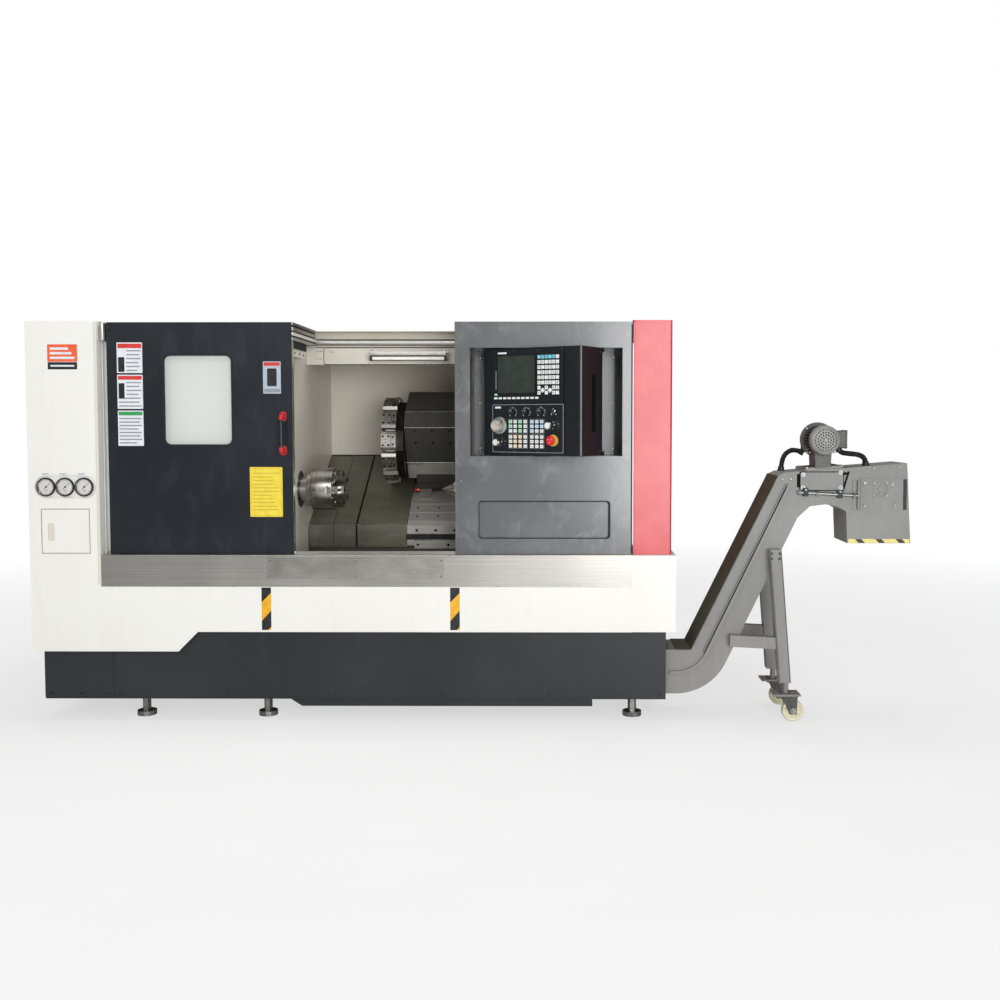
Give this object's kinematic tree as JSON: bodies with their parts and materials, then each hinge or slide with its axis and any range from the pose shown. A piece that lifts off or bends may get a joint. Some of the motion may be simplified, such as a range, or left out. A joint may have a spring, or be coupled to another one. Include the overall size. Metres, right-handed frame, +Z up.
{
  "type": "cnc turning lathe",
  "caption": "Slant-bed turning lathe with sliding front door, swivelling operator's panel, tool turret, tailstock and an attached inclined chip conveyor.",
  "frame": {"origin": "bottom centre of the whole machine with its conveyor, on the floor", "axes": "+X from the headstock to the conveyor, +Y from the operator's side to the back, +Z up"},
  "size_m": [4.078, 1.6178, 1.858],
  "materials": {
    "cast_iron": "painted casting, machined ways",
    "dark_steel": "dark blue-grey powder coat",
    "zinc_steel": "zinc plated",
    "white_paint": "white powder coat",
    "cream_paint": "cream powder coat",
    "brushed_steel": "brushed sheet",
    "red_paint": "red gloss paint",
    "dark_paint": "dark grey textured powder coat",
    "lamp_glass": "lamp tube in dark brackets",
    "grey_paint": "grey paint",
    "bare_steel": "turned and ground steel",
    "tool_steel": "milled steel",
    "window_glass": "clear laminated",
    "handle_red": "red brackets, steel bar",
    "panel_black": "black textured powder coat",
    "screen_glass": "dark screen",
    "wheel_silver": "turned aluminium",
    "stop_red": "red moulding",
    "button_white": "white moulding",
    "knob_black": "black moulding",
    "olive_paint": "dark olive paint",
    "fork_zinc": "zinc plated",
    "wheel_cream": "cast nylon"
  },
  "bodies": {
    "machine": {"bed_casting": "cast_iron", "levelling_feet": "zinc_steel", "plinth_cover": "dark_steel", "coolant_tank": "dark_steel", "left_cabinet": "white_paint", "lower_front_cover": "white_paint", "sill_strip": "brushed_steel", "right_end_box": "white_paint", "red_end_cover": "red_paint", "right_front_panel": "dark_paint", "control_recess": "dark_paint", "fixed_left_panel": "white_paint", "rear_enclosure": "cream_paint", "rear_beam": "cream_paint", "headstock_guard": "white_paint", "chip_tray": "cream_paint", "door_rails": "brushed_steel", "work_lamp": "lamp_glass", "headstock_casting": "cast_iron", "spindle_motor": "grey_paint", "bed_cover_fixed": "brushed_steel", "axis_motor": "grey_paint", "conveyor_body": "grey_paint", "conveyor_cover": "olive_paint", "slat_belt": "bare_steel", "conveyor_motor": "dark_steel", "conveyor_legs": "grey_paint"},
    "access_door": {"access_door": "white_paint"},
    "door": {"sliding_door": "dark_paint", "door_window": "window_glass", "door_handle": "handle_red"},
    "spindle": {"spindle": "bare_steel", "chuck_body": "bare_steel"},
    "jaw_1": {"chuck_jaw_1": "bare_steel"},
    "jaw_2": {"chuck_jaw_2": "bare_steel"},
    "jaw_3": {"chuck_jaw_3": "bare_steel"},
    "cover_middle": {"bed_cover_middle": "brushed_steel"},
    "carriage": {"carriage": "cast_iron", "bed_cover_front": "brushed_steel"},
    "cross_slide": {"cross_slide": "cast_iron"},
    "turret": {"turret_disc": "bare_steel", "tool_blocks": "tool_steel"},
    "tailstock": {"tailstock": "cast_iron"},
    "quill": {"tailstock_quill": "bare_steel"},
    "live_centre": {"live_centre": "bare_steel"},
    "ball_screw": {"ball_screw": "bare_steel"},
    "control_box": {"control_box": "panel_black", "control_face": "panel_black", "control_screen": "screen_glass"},
    "handwheel": {"handwheel": "wheel_silver"},
    "emergency_stop": {"emergency_stop": "stop_red"},
    "push_button": {"push_button": "button_white"},
    "knob_1": {"override_knob_1": "knob_black"},
    "knob_2": {"override_knob_2": "knob_black"},
    "knob_3": {"override_knob_3": "knob_black"},
    "conveyor_shaft": {"conveyor_shaft": "bare_steel"},
    "caster_fork_1": {"caster_fork_1": "fork_zinc"},
    "caster_wheel_1": {"caster_wheel_1": "wheel_cream"},
    "caster_fork_2": {"caster_fork_2": "fork_zinc"},
    "caster_wheel_2": {"caster_wheel_2": "wheel_cream"}
  },
  "joints": [
    {"name": "door_slide", "type": "slide", "parent": "machine", "child": "door", "axis": [1, 0, 0], "range_m": [0, 0.742]},
    {"name": "access_door_hinge", "type": "hinge", "parent": "machine", "child": "access_door", "pos_m": [-1.759, -0.64109, 0.786], "axis": [0, 0, 1], "range_deg": [0, 110]},
    {"name": "spindle_turn", "type": "hinge", "parent": "machine", "child": "spindle", "pos_m": [-0.811, -0.23109, 1.058], "axis": [1, 0, 0], "continuous": true},
    {"name": "jaw_1_slide", "type": "slide", "parent": "spindle", "child": "jaw_1", "axis": [0, -1, 0], "range_m": [-0.003, 0.003]},
    {"name": "jaw_2_slide", "type": "slide", "parent": "spindle", "child": "jaw_2", "axis": [0, 0.5, -0.866], "range_m": [-0.003, 0.003]},
    {"name": "jaw_3_slide", "type": "slide", "parent": "spindle", "child": "jaw_3", "axis": [0, 0.5, 0.866], "range_m": [-0.003, 0.003]},
    {"name": "carriage_slide", "type": "slide", "parent": "machine", "child": "carriage", "axis": [1, 0, 0], "range_m": [-0.12, 0.32]},
    {"name": "cover_middle_slide", "type": "slide", "parent": "machine", "child": "cover_middle", "axis": [1, 0, 0], "range_m": [-0.06, 0.16]},
    {"name": "ball_screw_turn", "type": "hinge", "parent": "machine", "child": "ball_screw", "pos_m": [-0.822, 0.22602, 0.96626], "axis": [1, 0, 0], "continuous": true},
    {"name": "cross_slide_travel", "type": "slide", "parent": "carriage", "child": "cross_slide", "axis": [0, 0.866, 0.5], "range_m": [-0.23, 0.03]},
    {"name": "turret_turn", "type": "hinge", "parent": "cross_slide", "child": "turret", "pos_m": [-0.434, 0.17854, 1.2945], "axis": [1, 0, 0], "continuous": true},
    {"name": "tailstock_slide", "type": "slide", "parent": "machine", "child": "tailstock", "axis": [1, 0, 0], "range_m": [-0.2, 0.25]},
    {"name": "quill_slide", "type": "slide", "parent": "tailstock", "child": "quill", "axis": [1, 0, 0], "range_m": [-0.08, 0.02]},
    {"name": "live_centre_turn", "type": "hinge", "parent": "quill", "child": "live_centre", "pos_m": [-0.111, -0.23109, 1.058], "axis": [1, 0, 0], "continuous": true},
    {"name": "control_box_turn", "type": "hinge", "parent": "machine", "child": "control_box", "pos_m": [0.329, -0.59109, 1.4835], "axis": [0, 0, 1], "range_deg": [-19, 31]},
    {"name": "handwheel_turn", "type": "hinge", "parent": "control_box", "child": "handwheel", "pos_m": [0.12705, -0.60682, 1.3755], "axis": [-0.515, -0.8572, 0], "continuous": true},
    {"name": "knob_1_turn", "type": "hinge", "parent": "control_box", "child": "knob_1", "pos_m": [0.18808, -0.64116, 1.4365], "axis": [-0.515, -0.8572, 0], "range_deg": [-135, 135]},
    {"name": "knob_2_turn", "type": "hinge", "parent": "control_box", "child": "knob_2", "pos_m": [0.25151, -0.67928, 1.4365], "axis": [-0.515, -0.8572, 0], "range_deg": [-135, 135]},
    {"name": "knob_3_turn", "type": "hinge", "parent": "control_box", "child": "knob_3", "pos_m": [0.31837, -0.71945, 1.4365], "axis": [-0.515, -0.8572, 0], "range_deg": [-135, 135]},
    {"name": "emergency_stop_press", "type": "slide", "parent": "control_box", "child": "emergency_stop", "axis": [0.515, 0.8572, 0], "range_m": [0, 0.004], "stiffness_N_per_m": 2500},
    {"name": "push_button_press", "type": "slide", "parent": "control_box", "child": "push_button", "axis": [0.515, 0.8572, 0], "range_m": [0, 0.003], "stiffness_N_per_m": 900},
    {"name": "conveyor_shaft_turn", "type": "hinge", "parent": "machine", "child": "conveyor_shaft", "pos_m": [1.896, -0.57609, 1.07898], "axis": [0, 1, 0], "continuous": true},
    {"name": "caster_swivel_1", "type": "hinge", "parent": "machine", "child": "caster_fork_1", "pos_m": [1.46096, -0.60359, 0.124], "axis": [0, 0, 1], "continuous": true},
    {"name": "caster_roll_1", "type": "hinge", "parent": "caster_fork_1", "child": "caster_wheel_1", "pos_m": [1.49296, -0.60359, 0.05], "axis": [0, 1, 0], "continuous": true},
    {"name": "caster_swivel_2", "type": "hinge", "parent": "machine", "child": "caster_fork_2", "pos_m": [1.46096, -0.31259, 0.124], "axis": [0, 0, 1], "continuous": true},
    {"name": "caster_roll_2", "type": "hinge", "parent": "caster_fork_2", "child": "caster_wheel_2", "pos_m": [1.49296, -0.31259, 0.05], "axis": [0, 1, 0], "continuous": true}
  ],
  "couplings": [
    {"joint": "jaw_2_slide", "follows": "jaw_1_slide", "ratio": 1},
    {"joint": "jaw_3_slide", "follows": "jaw_1_slide", "ratio": 1},
    {"joint": "cover_middle_slide", "follows": "carriage_slide", "ratio": 0.5},
    {"joint": "ball_screw_turn", "follows": "carriage_slide", "rad_per_m": 628.32}
  ]
}
